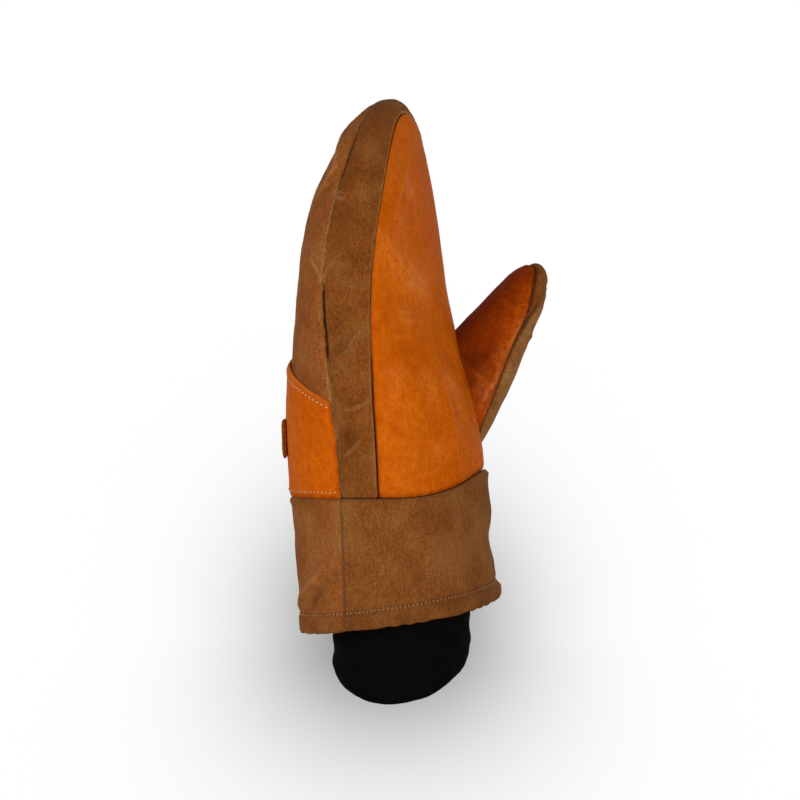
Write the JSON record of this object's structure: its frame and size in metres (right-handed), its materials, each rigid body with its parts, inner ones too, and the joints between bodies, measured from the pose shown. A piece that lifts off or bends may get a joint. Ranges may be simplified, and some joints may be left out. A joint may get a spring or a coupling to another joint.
{
  "type": "leather mitten",
  "caption": "Winter mitten for the right hand: leather palm, wrist band and thumb pad, waxed canvas back, side strip and gauntlet cuff, and a knitted inner cuff",
  "frame": {"origin": "middle of the wrist opening of the knitted cuff", "axes": "+Z points to the fingertips, the palm faces -Y, the back of the hand faces +Y and the thumb is on the +X side"},
  "size_m": [0.1288, 0.115, 0.2984],
  "materials": {
    "canvas": "brown waxed canvas, mottled, matt",
    "leather": "smooth orange-tan leather, satin",
    "knit": "black rib knit, matt"
  },
  "bodies": {
    "root": {"back_panel": "canvas", "side_strip": "canvas", "palm_panel": "leather", "thumb_pad": "leather", "thumb_strip": "canvas", "thumb_back": "canvas", "wrist_band": "leather", "band_loop": "leather", "cuff_back": "canvas", "cuff_palm": "canvas", "knit_cuff": "knit"}
  },
  "joints": []
}
